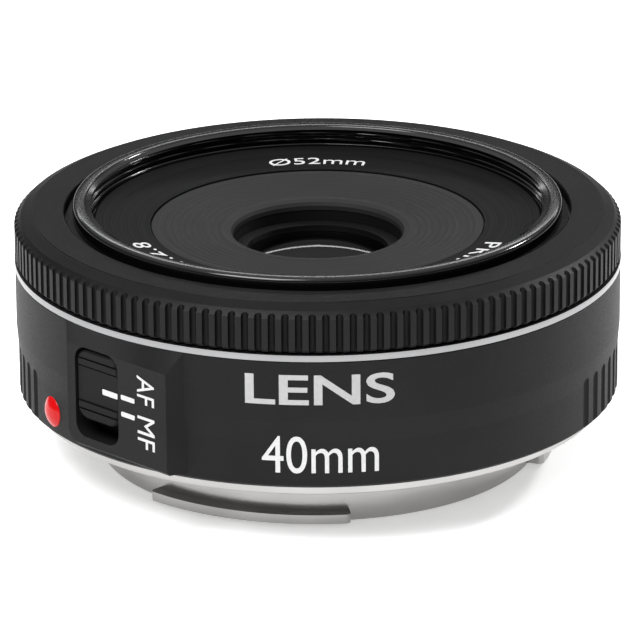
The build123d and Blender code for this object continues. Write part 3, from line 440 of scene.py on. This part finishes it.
# ---- Front barrel with its filter thread -------------------------------------------
def front_barrel():
    """Front barrel with a rounded rim and a helical thread in its mouth."""
    low, high = THREAD_MID_Z - THREAD_LENGTH / 2, THREAD_MID_Z + THREAD_LENGTH / 2
    fade_low, fade_high = 0.25 * MM, 0.2 * MM
    rows, steps = 56, 288

    def groove(radius, height, angle):
        """Radius of the threaded wall, cut away in the thread's grooves."""
        if abs(radius - THREAD_R) > 1e-7 or not low <= height <= high:
            return radius
        turns = (height - THREAD_PITCH * angle / (2 * pi)) / THREAD_PITCH
        tooth = abs(2 * (turns - floor(turns)) - 1)
        fade = min(1.0, (height - low) / fade_low, (high - height) / fade_high)
        cut = (tooth - THREAD_CREST) / THREAD_FLANK
        return radius + THREAD_DEPTH * fade * max(0.0, min(1.0, cut))

    profile = [
        (TUBE_IN_R, TUBE_LOW_Z), (TUBE_OUT_R, TUBE_LOW_Z), (TUBE_OUT_R, CUP_LOW_Z),
        *arc((RIM_R - CUP_ROUND, CUP_LOW_Z + CUP_ROUND), CUP_ROUND, -90, 0, 4),
        *arc((RIM_R - RIM_ROUND, RIM_Z - RIM_ROUND), RIM_ROUND, 0, 90, 10),
        *arc((THREAD_R + MOUTH_BEVEL, RIM_Z - MOUTH_ROUND), MOUTH_ROUND, 90, 150, 6),
        *[(THREAD_R, high - (high - low) * row / rows) for row in range(rows + 1)],
        (SEAT_R, low), (SEAT_R, LEDGE_Z), (WELL_R, LEDGE_Z), (WELL_R, WEB_Z), (TUBE_IN_R, WEB_Z),
    ]
    mesh = lathe("front_barrel_threaded", profile, steps, groove)

    pin_z = (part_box("follower_pins")[0].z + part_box("follower_pins")[1].z) / 2
    pin_from, pin_to = TUBE_IN_R - 0.9 * MM, TUBE_OUT_R + 0.8 * MM
    screw_from, screw_to = CUP_LOW_Z - 0.5 * MM, WEB_Z + 0.7 * MM
    holes = [
        (PIN_HOLE_R, polar(pin_from, bearing, pin_z), polar(pin_to, bearing, pin_z))
        for bearing in PIN_BEARINGS
    ]
    holes += [
        (
            SCREW_HOLE_R, polar(SCREW_CIRCLE_R, bearing, screw_from),
            polar(SCREW_CIRCLE_R, bearing, screw_to),
        )
        for bearing in SCREW_BEARINGS
    ]
    mesh = cut_holes(mesh, holes)
    shade(mesh, 28.0)
    piece = piece_from("front_barrel_threaded", mesh, "optical_unit", "front_black")
    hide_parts("front_barrel")


# ---- Index dot ----------------------------------------------------------------------
def index_dot():
    """Domed red dot set in its pocket."""
    low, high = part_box("index_dot")
    centre = (low + high) / 2
    out = Vector((centre.x, centre.y, 0)).normalized()
    sphere_r = (DOT_R**2 + DOT_PROUD**2) / (2 * DOT_PROUD)
    rings, steps = 12, 48
    profile = [(0.0, -DOT_STEM), (DOT_R, -DOT_STEM), (DOT_R, STEM_EDGE)]
    for ring in range(1, rings + 1):
        across = DOT_R * cos(pi / 2 * ring / rings)
        height = sqrt(sphere_r**2 - across**2) - (sphere_r - DOT_PROUD)
        profile.append((across, max(height, DOME_EDGE)))
    place = Matrix.Translation(out * LOWER_R + Vector((0, 0, centre.z)))
    place = place @ out.to_track_quat("Z", "Y").to_matrix().to_4x4()
    points, faces = [], []
    for step in range(steps):
        angle = 2 * pi * step / steps
        for across, height in profile:
            points.append(place @ Vector((across * cos(angle), across * sin(angle), height)))
        here, beyond = step * len(profile), (step + 1) % steps * len(profile)
        for k in range(len(profile) - 1):
            faces.append((here + k, beyond + k, beyond + k + 1, here + k + 1))
    mesh = bpy.data.meshes.new("index_dot_dome")
    mesh.from_pydata(points, [], faces)
    fix_normals(mesh, merge=1e-7, least_edge=1e-7)
    shade(mesh, 40.0)
    piece = piece_from("index_dot_dome", mesh, "barrel", "index_red")
    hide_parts("index_dot")


# ---- Markings -------------------------------------------------------------------------
# Each on_... function gives a function that lays (across, up, out) points on a surface.
def barrel_radius(height):
    """Radius of the barrel's outside at a height."""
    share = max(0.0, min(1.0, (height - CREASE_LOW_Z) / (CREASE_HIGH_Z - CREASE_LOW_Z)))
    return LOWER_R + (BARREL_R - LOWER_R) * share


def on_barrel(bearing, z):
    """On the outer barrel."""
    def place(point):
        across, up, out = point
        turn = radians(bearing) + across / BARREL_R
        radius = barrel_radius(z + up) + out
        return (radius * sin(turn), -radius * cos(turn), z + up)
    return place


def on_pad(along, z, depth=0.0, downwards=False):
    """On the switch's flat, upright or reading downwards."""
    def place(point):
        across, up, out = point
        side, rise = (up, -across) if downwards else (across, up)
        at = PAD_OUT * (PAD_DISTANCE - depth + out) + PAD_SIDE * (along + side)
        return (at.x, at.y, z + rise)
    return place


def on_name_ring(bearing, radius):
    """On the name ring, with the letters' tops outwards."""
    def place(point):
        across, up, out = point
        turn = radians(bearing) - across / radius
        at = radius + up
        return (at * sin(turn), -at * cos(turn), NAME_IN_Z + (at - NAME_IN_R) * NAME_SLOPE + out)
    return place


def slice_across(work, low, high, step):
    """Cuts a marking into narrow strips, so that it can follow a round surface."""
    for number in range(ceil(low / step), floor(high / step) + 1):
        bmesh.ops.bisect_plane(
            work, geom=work.verts[:] + work.edges[:] + work.faces[:],
            plane_co=(number * step, 0, 0), plane_no=(1, 0, 0), dist=1e-7,
        )


def finish_marking(name, work, place, body, material=None):
    """Lays a flat marking on its surface and makes a piece of it."""
    for vert in work.verts:
        vert.co = place(vert.co)
    bmesh.ops.remove_doubles(work, verts=work.verts, dist=1e-8)
    bmesh.ops.recalc_face_normals(work, faces=work.faces)
    mesh = bpy.data.meshes.new(name)
    work.to_mesh(mesh)
    work.free()
    piece_from(name, mesh, body, "marking_white", material)


def letters(
    name, words, width, height, place, body, material=None, weight=0.0, spacing=1.0, strip=STRIP
):
    """Line of plain sans letters of a given width and height, laid on a surface."""
    curve = bpy.data.curves.new(name, "FONT")
    curve.body, curve.extrude, curve.offset = words, 0.5, weight
    curve.space_character, curve.resolution_u = spacing, 6
    text = bpy.data.objects.new(name, curve)
    bpy.context.scene.collection.objects.link(text)
    ready = text.evaluated_get(bpy.context.evaluated_depsgraph_get())
    mesh = bpy.data.meshes.new_from_object(ready)
    bpy.data.objects.remove(text)
    work = bmesh.new()
    work.from_mesh(mesh)
    bmesh.ops.remove_doubles(work, verts=work.verts, dist=1e-5)
    xs = [vert.co.x for vert in work.verts]
    ys = [vert.co.y for vert in work.verts]
    middle, base = (min(xs) + max(xs)) / 2, min(ys)
    across, up = width / (max(xs) - min(xs)), height / (max(ys) - base)
    for vert in work.verts:
        vert.co = (
            (vert.co.x - middle) * across, (vert.co.y - base) * up - height / 2,
            MARK_PROUD if vert.co.z > 0 else -MARK_SUNK,
        )
    slice_across(work, -width / 2, width / 2, strip)
    finish_marking(name, work, place, body, material)


def bar(name, length, height, place, body, corner=0.12 * MM):
    """Rounded bar centred on its place."""
    outline = []
    for x, y, start in ((1, 1, 0), (-1, 1, 90), (-1, -1, 180), (1, -1, 270)):
        centre = (x * (length / 2 - corner), y * (height / 2 - corner))
        outline += arc(centre, corner, start, start + 90, 5)
    work = bmesh.new()
    under, over = (
        [work.verts.new((x, y, level)) for x, y in outline] for level in (-MARK_SUNK, MARK_PROUD)
    )
    work.faces.new(under)
    work.faces.new(over)
    for k in range(len(outline)):
        after = (k + 1) % len(outline)
        work.faces.new((under[k], under[after], over[after], over[k]))
    finish_marking(name, work, place, body)


def markings():
    """Plain technical markings and a generic word in the place of the maker's."""
    letters(
        "maker_word", "LENS", 16.3 * MM, 3.5 * MM, on_barrel(WORD_BEARING, 12.75 * MM), "barrel",
        silver_ink, weight=0.015,
    )
    letters(
        "focal_length", "40mm", 12.8 * MM, 4.3 * MM, on_barrel(WORD_BEARING, 5.2 * MM), "barrel"
    )
    for name, word, width, z in (
        ("af_label", "AF", 3.2 * MM, 11.0 * MM), ("mf_label", "MF", 3.7 * MM, 6.1 * MM)
    ):
        # The flat needs no strips, so one strip is wider than the word
        place = on_pad(PAD_LABEL_X, z, downwards=True)
        letters(name, word, width, 2.6 * MM, place, "barrel", strip=5 * MM)
    for name, z in (("af_tick", 9.4 * MM), ("mf_tick", 7.45 * MM)):
        bar(name, TICK_LENGTH, TICK_HEIGHT, on_pad(PAD_TICK_X, z), "barrel")
    bar(
        "switch_index", 2.35 * MM, 0.65 * MM, on_pad(1.3 * MM, 9.14 * MM, KNOB_DEPTH),
        "mode_switch",
    )
    letters(
        "filter_size", "Ø52mm", 11.3 * MM, 1.75 * MM, on_name_ring(180.0, 21.3 * MM),
        "optical_unit", weight=-0.004,
    )
    letters(
        "lens_description", "PRIME LENS  40mm  1:2.8", 51.0 * MM, 2.0 * MM,
        on_name_ring(-1.0, 21.2 * MM), "optical_unit", spacing=1.15,
    )


# ---- Stage ------------------------------------------------------------------------------
def add_floor():
    """Pale floor, faintly uneven and lit a little from within, which keeps shadows light."""
    half = 3.0
    mesh = bpy.data.meshes.new("floor")
    corners = [(-half, -half), (half, -half), (half, half), (-half, half)]
    mesh.from_pydata([(x, y, FLOOR_Z - 0.01 * MM) for x, y in corners], [], [(0, 1, 2, 3)])
    floor_piece = bpy.data.objects.new("floor", mesh)
    bpy.context.scene.collection.objects.link(floor_piece)
    material, shader = make_material(
        "FloorWhite", (0.95, 0.95, 0.95), 0.8, Emission_Color=(1.0, 1.0, 1.0, 1.0),
        Emission_Strength=0.4,
    )
    slow = noise(material, object_point(material), 4.0)
    tint = shades(material, slow, (0.93, 0.93, 0.93), (0.96, 0.96, 0.96))
    link(material, tint, shader.inputs["Base Color"])
    mesh.materials.append(material)


def add_area(name, position, target, size, power):
    """Rectangular soft light that faces a target."""
    light = bpy.data.lights.new(name, "AREA")
    light.shape, light.size, light.size_y, light.energy = "RECTANGLE", *size, power
    lamp = bpy.data.objects.new(name, light)
    bpy.context.scene.collection.objects.link(lamp)
    lamp.location = position
    lamp.rotation_mode = "QUATERNION"
    lamp.rotation_quaternion = (Vector(target) - Vector(position)).to_track_quat("-Z", "Y")


def add_lights():
    """Soft light from above, a key light, a small light at the back right and a strip behind."""
    world = bpy.data.worlds.new("studio")
    world.use_nodes = True
    tree = world.node_tree
    coords = tree.nodes.new("ShaderNodeTexCoord")
    split = tree.nodes.new("ShaderNodeSeparateXYZ")
    ramp = tree.nodes.new("ShaderNodeMapRange")
    for socket, value in (("From Min", 0.3), ("From Max", 0.9), ("To Min", 0.15), ("To Max", 1.2)):
        ramp.inputs[socket].default_value = value
    tree.links.new(coords.outputs["Generated"], split.inputs[0])
    tree.links.new(split.outputs["Z"], ramp.inputs["Value"])
    tree.links.new(ramp.outputs["Result"], tree.nodes["Background"].inputs["Strength"])
    tree.nodes["Background"].inputs["Color"].default_value = (1.0, 1.0, 1.0, 1.0)
    bpy.context.scene.world = world
    add_area("key", (-0.25, -0.30, 0.60), (0, 0, 0.01), (0.35, 0.35), 5.5)
    add_area("back_right", (0.45, 0.25, 0.36), (0, 0, 0.02), (0.09, 0.05), 2.0)
    add_area("back_strip", (0, 0.60, 0.26), (0, 0, 0.02), (0.70, 0.02), 0.22)


def add_camera():
    """Camera a little over half a metre in front, looking down at about 20 degrees."""
    target, distance = Vector((0.20 * MM, 0.0, 8.356 * MM)), 630.7 * MM
    elevation, roll = radians(19.986), radians(-0.368)
    forward = Vector((0, cos(elevation), -sin(elevation)))
    up, right = Vector((0, sin(elevation), cos(elevation))), Vector((1, 0, 0))
    turned_right = right * cos(roll) + up * sin(roll)
    turned_up = up * cos(roll) - right * sin(roll)
    camera = bpy.data.cameras.new("camera")
    camera.sensor_width, camera.lens = 36.0, 312.4
    camera.clip_start, camera.clip_end = 0.01, 20.0
    holder = bpy.data.objects.new("camera", camera)
    bpy.context.scene.collection.objects.link(holder)
    axes = Matrix((turned_right, turned_up, -forward)).transposed().to_4x4()
    holder.matrix_world = Matrix.Translation(target - forward * distance) @ axes
    bpy.context.scene.camera = holder
    bpy.context.scene.view_settings.view_transform = "Standard"


paint_frame()
front_barrel()
index_dot()
markings()
add_floor()
add_lights()
add_camera()
